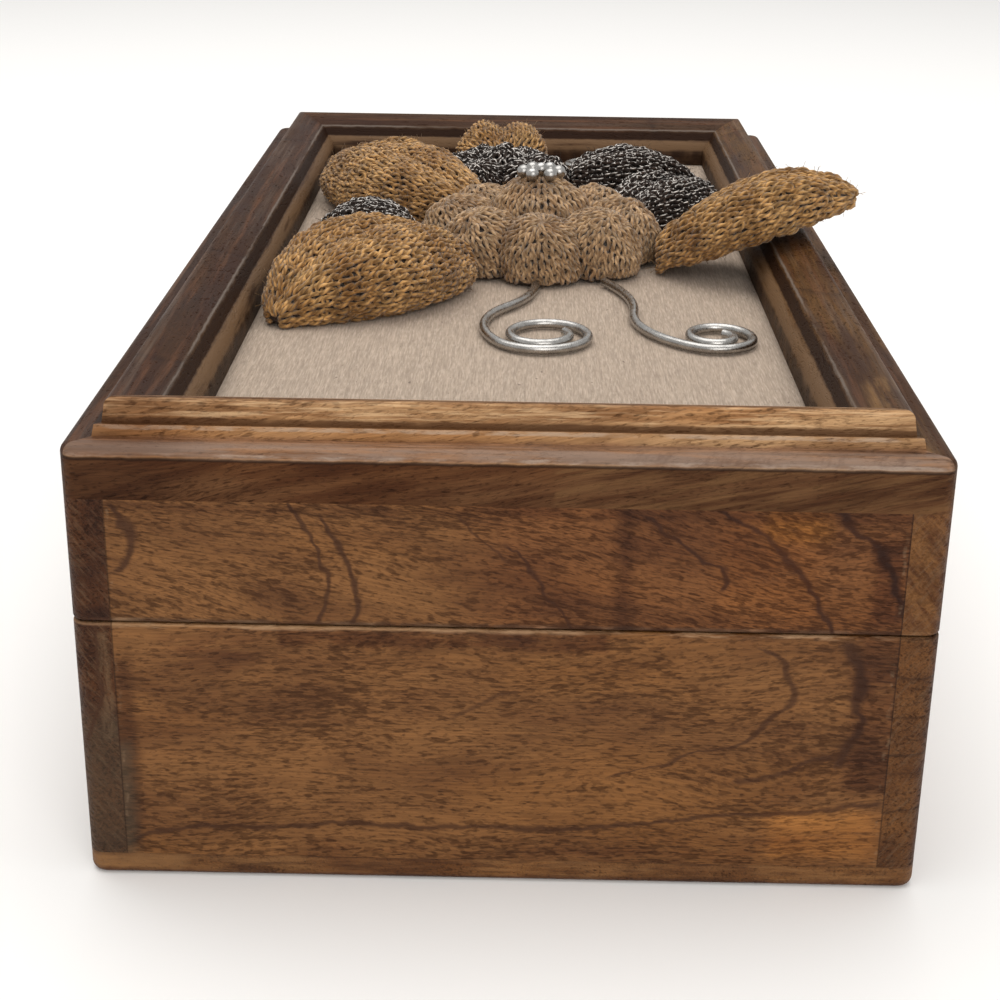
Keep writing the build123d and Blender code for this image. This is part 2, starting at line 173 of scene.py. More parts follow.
# Noise of the wood figure: scale along, into and across a board, detail and roughness
grain = dict(
    sway=((0.022, 0.03, 0.05), 1), patches=((0.03, 0.06, 0.09), 2), wide=((0.05, 0.05, 0.11), 2),
    fine=((0.16, 0.5, 0.9), 2, 0.6), small=((0.8, 2.3, 2.9), 1), large=((0.42, 1.2, 1.6), 1.5),
    mottle=((0.035, 0.09, 0.12), 4, 0.6), fibre=((0.1, 2.2, 3.4), 3, 0.65),
    shift=((0.014, 0.04, 0.05), 2), waver=(0.25, 2), swell=(0.2, 3, 0.6),
    wear=((0.12, 0.12, 0.9), 4, 0.65),
)
wood = dict(
    drift=9, ringDepth=1.2, ringStray=3.2, wander=2.6, poreLimit=0.735, poreShare=0.3,
    porePatches=0.3, smallPores=0.5, largePores=0.75, ringInk=0.85, poreInk=0.7, wearInk=0.8,
    worn=(0.5, 0.33, 0.2), wornShare=0.55, roughness=0.42, poreRoughness=0.25, mottleRoughness=0.1,
    fibreHeight=0.25, ringHeight=0.3, bumpDistance=0.00025, bumpStrength=0.6, waver=2.2,
    frameWaver=0.5, specular=0.14, frameSpecular=0.07, rimWear=0.8, cornerWear=2, cornerShare=0.3,
    cloud=(0.11, 0.4, 0.4), cloudEdge=0.11, smallEdge=(-0.03, 0.1), largeEdge=(-0.03, 0.12),
    warmPatches=(0.5, 0.68), fibreTone=(0.8, 1.16), rimEdge=(1.3, 0.5), cornerEdge=(1, 0.45),
    wearPatches=(0.42, 0.62), lineSwell=(0.3, 1.5),
)


# Wood figure in a board's own millimetres: X along the grain, Z across the face, Y into it
woodFigure, given, result = newGroup("woodFigure", {
    "Vector": ["Vector"], "Float": ["Seed", "Slant", "Heart Along", "Heart Across", "Squash",
                                    "Tilt", "Wander", "Pore Share"],
}, {"Float": ["Ring", "Pores", "Mottle", "Fibre", "Shift"]})
seedShift = scaled((37, 91, 53), given["Seed"])
place = vectorCalc("ADD", {0: given["Vector"], 1: seedShift})
parts, moved = split(given["Vector"]), split(place)
drift = multiply(subtract(noise(place, *grain["sway"]), 0.5), wood["drift"])
across = add(subtract(moved["Z"], multiply(parts["X"], given["Slant"])), drift)
fibreSpace = addNode(woodFigure, "CombineXYZ", {0: moved["X"], 1: moved["Y"], 2: across}).outputs[0]

# Rings: closed arches towards +X and straight lines the other way
rise = subtract(parts["Z"], given["Heart Across"])
rise = multiply(subtract(rise, multiply(parts["X"], given["Tilt"])), given["Squash"])
run = calc("MAXIMUM", subtract(parts["X"], given["Heart Along"]), 0)
depth = multiply(parts["Y"], wood["ringDepth"])
ring = add(add(multiply(rise, rise), multiply(run, run)), multiply(depth, depth))
wide = subtract(noise(place, *grain["wide"]), 0.5)
fine = subtract(noise(fibreSpace, *grain["fine"]), 0.5)
stray = add(multiply(wide, wood["ringStray"]), fine)

# Pores: short dark dashes, thicker where the patch noise is high
patches = subtract(noise(place, *grain["patches"]), 0.5)
limit = subtract(wood["poreLimit"], multiply(given["Pore Share"], wood["poreShare"]))
limit = subtract(limit, multiply(patches, wood["porePatches"]))
pores = []
for size in ("small", "large"):
    dashes = spread(subtract(noise(fibreSpace, *grain[size]), limit), *wood[f"{size}Edge"])
    pores.append(multiply(dashes, wood[f"{size}Pores"]))
fill(result, {
    "Ring": add(calc("SQRT", ring), multiply(stray, given["Wander"])),
    "Pores": calc("ADD", *pores, clamp=True),
    "Mottle": spread(noise(fibreSpace, *grain["mottle"]), 0.3, 0.7),
    "Fibre": spread(noise(fibreSpace, *grain["fibre"]), 0.25, 0.75),
    "Shift": noise(place, *grain["shift"]),
})


# The wood's colour, roughness and surface height from its figure
woodFinish, given, result = newGroup("woodFinish", {
    "Color": ["Pale", "Mid", "Warm", "Dark"],
    "Float": ["Warmth", "Rings", "Pores", "Mottle", "Fibre", "Shift", "Wear"],
}, {"Color": ["Color"], "Float": ["Roughness", "Height"]})
ground = mix(given["Mottle"], given["Mid"], given["Pale"])
warm = multiply(spread(given["Shift"], *wood["warmPatches"]), given["Warmth"])
ground = mix(warm, ground, given["Warm"])
ground = scaled(ground, spread(given["Fibre"], 0, 1, *wood["fibreTone"]))
ground = mix(multiply(given["Rings"], wood["ringInk"]), ground, given["Dark"])
ground = mix(multiply(given["Pores"], wood["poreInk"]), ground, given["Dark"])
worn = mix(wood["wornShare"], given["Pale"], wood["worn"])
ground = mix(multiply(given["Wear"], wood["wearInk"]), ground, worn)
rough = add(wood["roughness"], multiply(given["Pores"], wood["poreRoughness"]))
height = subtract(multiply(given["Fibre"], wood["fibreHeight"]), given["Pores"])
fill(result, {
    "Color": ground,
    "Roughness": add(rough, multiply(given["Mottle"], wood["mottleRoughness"])),
    "Height": subtract(height, multiply(given["Rings"], wood["ringHeight"])),
})


# Worn edges: the upright corners of the box and one level rim, broken up by noise
edgeWear, given, result = newGroup("edgeWear", {"Vector": ["Vector"], "Float": ["Rim"]},
                               {"Float": ["Wear"]})
parts = split(given["Vector"])
sideways = subtract(halfWidth, calc("ABSOLUTE", parts["X"]))
lengthways = subtract(halfLength, calc("ABSOLUTE", parts["Y"]))
corner = calc("DIVIDE", add(sideways, lengthways), wood["cornerWear"])
corner = multiply(spread(corner, *wood["cornerEdge"]), wood["cornerShare"])
rim = calc("ABSOLUTE", subtract(parts["Z"], given["Rim"]))
rim = add(rim, calc("MINIMUM", sideways, lengthways))
rim = spread(calc("DIVIDE", rim, wood["rimWear"]), *wood["rimEdge"])
broken = spread(noise(given["Vector"], *grain["wear"]), *wood["wearPatches"])
fill(result, {"Wear": multiply(calc("MAXIMUM", corner, rim), broken)})


# A board's turn and the distance to its outer face: X along it, Y into it, Z upwards
sides = dict(
    front=(0, halfLength), back=(pi, halfLength), left=(pi / 2, halfWidth),
    right=(-pi / 2, halfWidth), board=(pi / 2, 0),
)
rims = dict(lid=50.9, base=50.6, frame=89.1, bottom=0)  # heights of the worn edges
# The pale, mid, warm and dark colours of each kind of wood
brown = (0.205, 0.09, 0.03), (0.108, 0.042, 0.0135), (0.26, 0.105, 0.026), (0.028, 0.0095, 0.0035)
# golden, the front rail's set: partly its wood's colour and partly painted light, lighter than the
# other rails for the light its top catches
litGolden = (0.5, 0.3, 0.15), (0.24, 0.118, 0.05), (0.42, 0.2, 0.075), (0.06, 0.024, 0.01)
umber = (0.068, 0.036, 0.019), (0.037, 0.017, 0.009), (0.085, 0.034, 0.014), (0.014, 0.006, 0.0035)
amber = (0.11, 0.052, 0.016), (0.054, 0.0225, 0.0065), (0.14, 0.06, 0.015), (0.017, 0.007, 0.003)
darkLine, growthLine = (0.02, 0.0075, 0.003), (0.05, 0.019, 0.008)
atEnd = dict(end=(-1, 2.4))


# Marks over the figure: colour, strength, softness and where, in millimetres: across (X), up (Z),
# deep (Y), fromMiddle (X either way) and end (from the board's end). "broken" gives the level, and
# at times the scale, of the noise that breaks it up, and "straight" has no waver
def paint(colour, strength, soft, kind="MIX", **where):
    return dict(where, colour=colour, strength=strength, soft=soft, kind=kind)


def tint(colour, strength, soft, **where):
    return paint(colour, strength, soft, "MULTIPLY", **where)


# Growth lines through points: up the board (height, place), or flat along it (place, height)
def drawn(width, strength, *points, soft=0.5, along="Z", axis="X", **where):
    return paint(growthLine, strength, soft, width=width, line=sorted(points), along=along,
                 axis=axis, **where)


def drawnFlat(width, strength, *points):
    return drawn(width, strength, *points, along="X", axis="Z")


endWallMarks = [
    paint(darkLine, 0.7, 0.14, fromMiddle=(67.75, 68.2), straight=True),
    paint((0.34, 0.22, 0.13), 0.3, 0.18, fromMiddle=(67.1, 67.6), broken=(0.6, 0.2, 0.3, 0.5)),
]
strip = dict(up=(81.3, 83.4), deep=(-1, 4.9))  # the rail's outer flat
frontRailMarks = [
    tint((0.235, 0.178, 0.15), 1, 0.25, up=(72, 80.9)),
    tint((0.5, 0.4, 0.36), 0.8, 0.25, up=(72, 80.9), broken=(0.52, 0.045, 0.3, 0.5),
        turned=(0, 0.2, 0)),
    paint((0.155, 0.077, 0.031), 0.6, 0.4, across=(8, 74), up=(72, 80.9),
        broken=(0.54, 0.04, 0.35, 0.7), turned=(0, 0.22, 0)),
    paint(darkLine, 0.85, 0.2, up=(80.55, 81.15)),
    # painted sheen: the outer flat greyed and cooled as if it reflected the lamps
    tint((0.46, 0.44, 0.53), 1, 0.3, **strip),
    paint((0.4, 0.21, 0.11), 0.6, 0.5, broken=(0.52, 0.05, 0.9, 0.9), **strip),
    # painted sheen: a grey glint on the front part of the outer flat
    paint((0.23, 0.165, 0.13), 0.75, 0.8, up=(81.3, 83.4), deep=(-1, 3.2),
        broken=(0.46, 0.035, 0.3, 0.3)),
    paint((0.12, 0.07, 0.05), 0.6, 0.3, across=(2, 66), broken=(0.62, 0.3, 0.14, 0.14),
        turned=(0, 0, 0.8), **strip),
    paint((0.4, 0.31, 0.25), 0.6, 0.12, up=(81.2, 81.9), broken=(0.52,)),
    paint((0.07, 0.028, 0.011), 0.85, 0.25, up=(84.4, 86), deep=(5.5, 6.7)),
    # painted highlight: a pale line along the ledge's edge where light catches it
    paint((0.5, 0.37, 0.27), 0.65, 0.15, up=(84.3, 85.3), deep=(4.8, 5.35), broken=(0.46,)),
    tint((0.55, 0.46, 0.4), 0.85, 0.4, up=(86, 90), broken=(0.52, 0.06, 0.8, 0.8)),
    paint((0.72, 0.48, 0.27), 0.6, 0.3, up=(86, 90), broken=(0.58, 0.075, 1.3, 1.3)),
    # painted shade: the back of the crest darkened for the shadow line before the linen
    paint((0.085, 0.036, 0.016), 0.75, 0.35, up=(88.4, 90), deep=(7.9, 9.6)),
    tint((0.62, 0.55, 0.52), 0.8, 8, across=(-76, -55)),
]
sideRailMarks = [
    paint((0.15, 0.105, 0.08), 0.5, 0.6, deep=(-1, 15), broken=(0.56, 0.009, 0.3, 0.3)),
    paint((0.032, 0.0105, 0.005), 0.75, 0.6, deep=(-1, 15), broken=(0.53, 0.015, 0.26, 0.26)),
    paint((0.15, 0.062, 0.028), 0.55, 0.6, deep=(-1, 15), broken=(0.59, 0.019, 0.4, 0.4)),
    paint(darkLine, 0.45, 0.3, up=(84.4, 85.4), deep=(5, 6.6)),
    paint(darkLine, 0.6, 0.25, up=(80.4, 81.1)),
    # painted highlight along the inner arris
    paint((0.2, 0.165, 0.14), 0.6, 0.15, deep=(14.95, 15.4), broken=(0.44, 0.03, 0.3, 0.3)),
    # painted shade in the groove below the inner arris
    paint((0.02, 0.008, 0.004), 0.9, 0.2, deep=(15.6, 17)),
    paint((0.17, 0.1, 0.053), 0.8, 0.3, deep=(17.1, 19), broken=(0.4, 0.03, 0.5, 0.5)),
    # painted shadow line at the sight edge, beside the linen
    paint((0.02, 0.009, 0.005), 0.85, 0.2, deep=(19, 19.8)),
]
endGrain = tint((0.43, 0.335, 0.28), 1, 0.4, **atEnd)
endStreaks = paint((0.15, 0.085, 0.045), 0.4, 0.4, **atEnd, broken=(0.57, 0.02, 0.22, 1.5),
    turned=(0.9, 0, 0))
marks = {
    "lid_back_board": endWallMarks, "base_back_board": endWallMarks,
    "frame_front_rail": frontRailMarks, "frame_back_rail": sideRailMarks,
}
marks["lid_front_board"] = [
    drawn(1.6, 0.88, (72.9, -66.8), (69.7, -64.9), (66, -63.4), (62.7, -64.3), (60, -66.6)),
    drawn(0.75, 0.85, (74, -37.2), (70.3, -34.8), (66.1, -32.5), (61.8, -31.1), (59, -30.4),
        (55.2, -31), (51.4, -32.2)),
    drawn(0.9, 0.88, (71.4, -31), (66.1, -28.5), (61.8, -26.6), (58, -25.4), (55.3, -25.2),
        (50.9, -26.8)),
    drawn(0.7, 0.65, (71.8, -8.2), (68.2, -5.2), (66.1, -2.7), (63.5, 0.2)),
    drawn(0.8, 0.85, (66.8, 0), (61.4, 4.7), (57.1, 7.3), (51, 11.6)),
    drawn(1.15, 0.95, (72.5, 23.2), (68.3, 28.2), (64.7, 32.9), (61.5, 37.5), (58.6, 36.6)),
    drawn(1.2, 0.95, (74.3, 34.8), (71.2, 39.9), (68.6, 44), (63.9, 48.2), (59.6, 51.5),
        (51, 56.4)),
    drawn(2, 1, (74.7, 55.8), (71, 57.5), (67.9, 61.7), (63.7, 64.6), (59.4, 66.5), (54, 68.4)),
    tint((0.5, 0.43, 0.4), 0.8, 1, up=(71.4, 74), broken=(0.42,)),
    paint((0.03, 0.011, 0.0045), 0.75, 0.45, up=(50, 51.7)),
    tint((0.42, 0.36, 0.36), 0.75, 1.6, across=(18.8, 21.6)),
    tint((0.46, 0.37, 0.36), 0.85, 1.6, across=(62, 67.8), up=(52.5, 69), broken=(0.34,)),
    tint((0.86, 0.76, 0.74), 1, 9, across=(-5, 80)),
    tint((1.3, 1.22, 1), 0.75, 3.5, across=(36, 53), up=(55, 73), broken=(0.4,)),
    tint((1.45, 1.5, 1.05), 0.8, 1.6, across=(43.5, 55), up=(68, 74), broken=(0.36,)),
] + endWallMarks
marks["base_front_board"] = [
    drawnFlat(0.85, 0.8, (-67.5, 6.6), (-58.6, 9.8), (-52.2, 10.5), (-42.6, 10.4), (-26.7, 11.7),
        (-16.2, 11.1), (-5.6, 11.3), (11.3, 11.4), (20.7, 12.2), (29.1, 13.3), (41.6, 14.8),
        (52, 15.6), (67.5, 17.8)),
    drawn(1.25, 0.78, (48.1, 43.6), (46, 47.3), (42.6, 49.3), (38, 50.4), (34.5, 46.6),
        (30.3, 43.2), (28.5, 39.7), (27.2, 32.6), (24.7, 28.6), (23.4, 21.9), (22.1, 18.8)),
    drawn(2, 0.9, (49.8, 58.8), (45.7, 60.5), (41.2, 61.9), (36.5, 61.2), (33.1, 62.6),
        (30.1, 60.8), (25, 59.2)),
    drawnFlat(1, 0.75, (41, 21.6), (46.3, 22.7), (50.9, 24), (53.4, 25.9), (58, 26.7)),
    drawnFlat(0.8, 0.55, (-9, 33.6), (-4.8, 35.7), (-0.7, 38.1), (2, 38.8)),
    tint((0.5, 0.4, 0.38), 0.8, 2, across=(60.5, 69.5), up=(20, 51), broken=(0.38,)),
    tint((0.42, 0.35, 0.34), 0.8, 1.4, across=(-68.5, -64.6), up=(6, 44), broken=(0.3,)),
    paint((0.068, 0.05, 0.031), 0.55, 1.6, across=(-71, -65.8), up=(4, 27),
        broken=(0.34, 0.3, 0.3, 0.16)),
    tint((0.55, 0.46, 0.46), 0.75, 2.4, across=(-60, -42), up=(43, 48.5), broken=(0.44,)),
    tint((0.5, 0.4, 0.36), 0.85, 1, across=(-39, 18), up=(46.6, 50.2), broken=(0.42,)),
    paint((0.4, 0.235, 0.12), 0.5, 0.2, across=(-90, 8), fade=26, up=(50.15, 50.6),
        broken=(0.38, 0.07, 0.4, 0.4), straight=True),
    tint((1.75, 1.62, 1.2), 0.85, 1.8, across=(47.5, 67.5), fade=3, up=(5, 14.6), lean=0.02,
        broken=(0.36,)),
    tint((0.62, 0.54, 0.52), 0.6, 2, across=(-35, 47), up=(3, 9), broken=(0.5,)),
] + endWallMarks
marks["lid_left_board"] = [
    endGrain, endStreaks,
    tint((0.7, 0.64, 0.68), 0.8, 1.2, deep=(3, 7.1), **atEnd),
    tint((0.5, 0.42, 0.4), 0.8, 1.2, up=(50, 53.5), **atEnd),
]
marks["lid_right_board"] = [
    paint((0.165, 0.07, 0.02), 0.5, 0.4, **atEnd),
    tint((0.5, 0.4, 0.36), 0.9, 0.4, **atEnd, broken=(0.5, 0.02, 0.12, 0.55),
        turned=(-0.8, 0, 0)),
    tint((0.5, 0.4, 0.36), 0.9, 0.8, deep=(-1, 1.2), **atEnd),
    endStreaks,
]
marks["base_left_board"] = [
    endGrain, endStreaks,
    paint((0.14, 0.08, 0.04), 0.55, 0.6, up=(28, 49), deep=(4.7, 6.5), **atEnd,
        broken=(0.44, 0.05, 0.9, 0.2)),
    paint((0.068, 0.05, 0.031), 0.62, 4, up=(4, 33), **atEnd, broken=(0.3, 0.3, 0.3, 0.16)),
    drawn(0.7, 0.75, (50, 4.4), (42.9, 4.6), (36, 4.3), (30.2, 2.5), (24, -0.4), axis="Y",
        **atEnd, soft=0.4),
    paint((0.3, 0.17, 0.09), 0.5, 0.2, up=(50.15, 50.6), **atEnd, straight=True),
]
marks["base_right_board"] = [
    tint((0.72, 0.66, 0.56), 1, 0.4, **atEnd),
    tint((0.55, 0.45, 0.42), 0.9, 0.9, deep=(-1, 1.4), **atEnd),
    endStreaks,
]
marks["bottom_board"] = [
    paint(darkLine, 0.55, 0.15, up=(4.3, 5), broken=(0.42,), straight=True),
    paint((0.24, 0.115, 0.043), 0.6, 0.4, **atEnd, broken=(0.5, 0.02, 0.06, 0.7)),
    paint((0.05, 0.02, 0.009), 0.55, 0.4, **atEnd, broken=(0.55, 0.02, 0.1, 0.9)),
    paint((0.26, 0.13, 0.05), 0.6, 1.5, up=(1.2, 4.4), deep=(-74, -57), **atEnd),
    tint((0.5, 0.38, 0.36), 0.85, 4, deep=(-33, -4), **atEnd),
    tint((0.6, 0.5, 0.46), 0.8, 4, deep=(29, 46), **atEnd),
    tint((0.5, 0.4, 0.38), 0.8, 0.7, up=(-1, 1.2)),
]
# painted shade: the left rail darkened and warmed to offset the grey sheen it catches
marks["frame_left_rail"] = [tint((0.75, 0.58, 0.42), 1, 0.6, deep=(-1, 15))] + sideRailMarks
marks["frame_right_rail"] = [
    paint((0.27, 0.145, 0.055), 0.6, 2.5, deep=(4, 14), end=(2, 26), broken=(0.48, 0.04, 0.3, 0.3)),
] + sideRailMarks
boards = {
    "lid_front_board": dict(seed=3, slant=-0.16, pores=0.66, warmth=0.35),
    "base_front_board": dict(seed=8, slant=0, pores=0.62, warmth=0.3),
    "lid_back_board": dict(seed=14, slant=0.05, pores=0.6, warmth=0.4, heart=(-190, 62), squash=4.4,
        tilt=0.06, ringsAt=(120, 141, 160, 166, 189, 214, 230, 249)),
    "base_back_board": dict(seed=21, slant=0.03, pores=0.58, warmth=0.4, heart=(-30, 12),
        squash=2.2, tilt=0.02, ringsAt=(18, 34, 47, 70, 92)),
    "lid_left_board": dict(seed=30, slant=0.02, pores=0.6, warmth=0.3, shade=0.85, heart=(-60, 58),
        squash=5, tilt=0.02, ringsAt=(26, 60, 74, 98, 131, 158, 190)),
    "lid_right_board": dict(seed=37, slant=-0.03, pores=0.58, warmth=0.4, heart=(-90, 70),
        squash=4.2, tilt=0.03, ringsAt=(34, 70, 92, 121, 150, 184, 220)),
    "base_left_board": dict(seed=44, slant=0.02, pores=0.6, warmth=0.3, shade=0.9, heart=(-110, 30),
        squash=4, tilt=-0.02, ringsAt=(30, 61, 80, 96, 140, 166, 205, 240)),
    "base_right_board": dict(seed=52, slant=0.03, pores=0.56, warmth=0.4, shade=0.95,
        heart=(-40, 14), squash=3.6, tilt=0.03, ringsAt=(24, 52, 66, 92, 120, 149, 178)),
    "bottom_board": dict(seed=61, slant=0, pores=0.45, warmth=0.3, shade=0.9, heart=(-160, 8),
        squash=1.5, tilt=0, ringsAt=(40, 90, 131, 172, 228, 262)),
    # the front rail's golden colours are painted lighter for the light its top catches
    "frame_front_rail": dict(seed=70, slant=0.18, pores=0.4, warmth=0.6, colours=litGolden),
    "frame_back_rail": dict(seed=77, slant=0.02, pores=0.3, warmth=0.4, colours=umber,
        heart=(-160, 90), squash=4, tilt=0.02, ringsAt=(121, 170, 232)),
    "frame_left_rail": dict(seed=84, slant=0.01, pores=0.3, warmth=0.3, colours=umber,
        heart=(-150, 95), squash=5, tilt=0, ringsAt=(66, 120, 190, 266)),
    "frame_right_rail": dict(seed=92, slant=0.01, pores=0.35, warmth=0.5, colours=amber,
        heart=(-190, 64), squash=5, tilt=0.01, ringsAt=(110, 180, 246, 330)),
}


# Growth lines as a ramp: each darkens slowly and ends sharply
growthRamp = dict(
    margin=12, before=2.2, after=0.9, strengths=(0.85, 0.55, 0.9, 0.7, 0.9, 0.6, 0.95, 0.75),
)


def ringMask(ring, ringsAt):
    first, last = ringsAt[0] - growthRamp["margin"], ringsAt[-1] + growthRamp["margin"]
    node = addNode(ring.id_data, "ValToRGB", {"Fac": spreadLinear(ring, first, last)})
    elements = node.color_ramp.elements
    elements[1].color = (0, 0, 0, 1)
    strengths = growthRamp["strengths"]
    for i, at in enumerate(ringsAt):
        ramp = ((at - growthRamp["before"], 0), (at, strengths[i % len(strengths)]),
                (at + growthRamp["after"], 0))
        for place, value in ramp:
            elements.new((place - first) / (last - first)).color = (value, value, value, 1)
    return node.outputs["Color"]


def bandMask(value, low, high, soft):
    rise = spread(value, low - soft, low + soft)
    return multiply(rise, spread(value, high - soft, high + soft, 1, 0))


# A drawn growth line: its place is a smooth curve of how far along it is
def lineMask(place, parts, mark):
    along, points = parts[mark["along"]], mark["line"]
    first, last = points[0][0], points[-1][0]
    values = [value for key, value in points]
    low, high = min(values) - 1, max(values) + 1
    node = addNode(place.id_data, "FloatCurve", {"Value": spreadLinear(along, first, last)})
    curve = node.mapping.curves[0]
    spots = [((key - first) / (last - first), (value - low) / (high - low))
             for key, value in points]
    curve.points[0].location, curve.points[-1].location = spots[0], spots[-1]
    for spot in spots[1:-1]:
        curve.points.new(*spot)
    node.mapping.update()
    line = spreadLinear(node.outputs["Value"], 0, 1, low, high)
    apart = calc("ABSOLUTE", subtract(parts[mark["axis"]], line))
    swell = spreadLinear(noise(place, *grain["swell"]), 0.25, 0.75, *wood["lineSwell"])
    body = spread(calc("DIVIDE", apart, multiply(swell, mark["width"])), 0.15, 1, 1, 0)
    return multiply(body, bandMask(along, first, last, 0.8))


def paintMark(ground, place, wavering, steady, mark):
    parts = steady if mark.get("straight") else wavering
    soft, masks = mark["soft"], []
    if "line" in mark:
        masks.append(lineMask(place, parts, mark))
    if "across" in mark:
        masks.append(bandMask(parts["X"], *mark["across"], mark.get("fade", soft)))
    if "fromMiddle" in mark:
        masks.append(bandMask(calc("ABSOLUTE", parts["X"]), *mark["fromMiddle"], soft))
    if "up" in mark:
        lean = multiply(parts["X"], mark.get("lean", 0))
        masks.append(bandMask(subtract(parts["Z"], lean), *mark["up"], soft))
    if "deep" in mark:
        masks.append(bandMask(parts["Y"], *mark["deep"], soft))
    if "end" in mark:
        fromEnd = subtract(halfLength, calc("ABSOLUTE", parts["X"]))
        masks.append(bandMask(fromEnd, *mark["end"], soft))
    if "broken" in mark:
        if "turned" in mark:
            place = addNode(place.id_data, "Mapping", {
                "Vector": place, "Rotation": mark["turned"]}).outputs["Vector"]
        level, *scale = mark["broken"]
        cloud = noise(place, tuple(scale or wood["cloud"]), 4, 0.65)
        masks.append(spread(cloud, level - wood["cloudEdge"], level + wood["cloudEdge"]))
    share = mark["strength"]
    for mask in masks:
        share = multiply(mask, share)
    return mix(share, ground, mark["colour"], mark["kind"])


def makeWood(name, board):
    material, tree, shader = newMaterial(f"wood_{name}")
    family, side = name.split("_")[:2]
    framed = family == "frame"
    turn, outside = sides[side]
    place = millimetres(tree, (0, 0, turn), (0, outside, 0))
    waver = subtract(noise(place, *grain["waver"]), 0.5)
    waver = multiply(waver, wood["frameWaver" if framed else "waver"])
    wavering = split(vectorCalc("ADD", {0: place, 1: waver}))
    steady = split(place)
    along, across = board.get("heart", (0, 0))
    figure = useGroup(tree, woodFigure, {
        "Vector": place, "Seed": board["seed"], "Slant": board["slant"], "Heart Along": along,
        "Heart Across": across, "Squash": board.get("squash", 0), "Tilt": board.get("tilt", 0),
        "Wander": wood["wander"], "Pore Share": board["pores"],
    })
    wear = useGroup(tree, edgeWear, {"Vector": millimetres(tree), "Rim": rims[family]})
    shade = board.get("shade", 1)
    inks = [[part * shade for part in colour] for colour in board.get("colours", brown)]
    rings = ringMask(figure["Ring"], board["ringsAt"]) if "ringsAt" in board else 0
    finish = useGroup(tree, woodFinish, {
        "Warmth": board["warmth"], "Rings": rings, "Wear": wear["Wear"],
        **dict(zip(("Pale", "Mid", "Warm", "Dark"), inks)),
        **{label: figure[label] for label in ("Pores", "Mottle", "Fibre", "Shift")},
    })
    ground = finish["Color"]
    for mark in marks[name]:
        ground = paintMark(ground, place, wavering, steady, mark)
    fill(shader, {
        "Base Color": ground, "Roughness": finish["Roughness"],
        "Specular IOR Level": wood["frameSpecular" if framed else "specular"],
        "Normal": bump(finish["Height"], wood["bumpDistance"], wood["bumpStrength"]),
    })
    return material


for name, board in boards.items():
    dress([name], makeWood(name, board))
print("stage: wood")


# Plain metals
metals = {  # colour, roughness, metallic, streak
    "brass": ((0.46, 0.31, 0.12), 0.34, 1, 0.12),
    "steel": ((0.42, 0.41, 0.4), 0.38, 1, 0.12),
    "aluminium_wire": ((0.5, 0.49, 0.475), 0.27, 1, 0.1),
    "silver_strand": ((0.68, 0.64, 0.6), 0.38, 0.6, 0.12),
}


metalFinish = dict(tone=(0.5, 4, 0.6), scratch=((3, 0.6, 3), 3, 0.7), contrast=3,
                   polish=(0.7, 1.4), bump=(0.00008, 0.4))


def makeMetal(name):
    colour, rough, metallic, streak = metals[name]
    material, tree, shader = newMaterial(name)
    place = millimetres(tree)
    tone = noise(place, *metalFinish["tone"])
    scratch = noise(place, *metalFinish["scratch"])
    darker = tuple(part * (1 - streak * metalFinish["contrast"]) for part in colour)
    polish = [rough * share for share in metalFinish["polish"]]
    fill(shader, {
        "Base Color": mix(spread(tone, 0.3, 0.7), darker, colour), "Metallic": metallic,
        "Roughness": spread(scratch, 0.2, 0.8, *polish),
        "Normal": bump(scratch, *metalFinish["bump"]),
    })
    return material


for metal, words in (("brass", ["hinge"]), ("steel", ["backing_pins"]),
                     ("aluminium_wire", ["wire_scroll", "rosette_beads"])):
    dress([name for name in nodes if any(word in name for word in words)], makeMetal(metal))


# Pressed board behind the linen: fine chips and flat edges
pressedBoard = dict(
    chip=(0.45, 0.9, 0.9), dark=(0.3, 0.19, 0.1), light=(0.42, 0.29, 0.17), dust=(0.34, 0.22, 0.12),
    roughness=0.85, streak=((0.05, 0.8, 0.8), 4, 0.6), bump=(0.0001, 0.5),
)
boardMaterial, tree, shader = newMaterial("pressed_board")
place = millimetres(tree)
chips = vectorCalc("MULTIPLY", {0: place, 1: pressedBoard["chip"]})
chips = addNode(tree, "TexVoronoi", {"Vector": chips, "Scale": 1}).outputs["Color"]
tone = addNode(tree, "SeparateColor", {0: chips}).outputs[0]
streaks = noise(place, *pressedBoard["streak"])
ground = mix(tone, pressedBoard["dark"], pressedBoard["light"])
fill(shader, {
    "Base Color": mix(streaks, ground, pressedBoard["dust"]),
    "Roughness": pressedBoard["roughness"], "Normal": bump(streaks, *pressedBoard["bump"]),
})
dress(["panel_board", "backing_board"], boardMaterial)
print("stage: metals and boards")


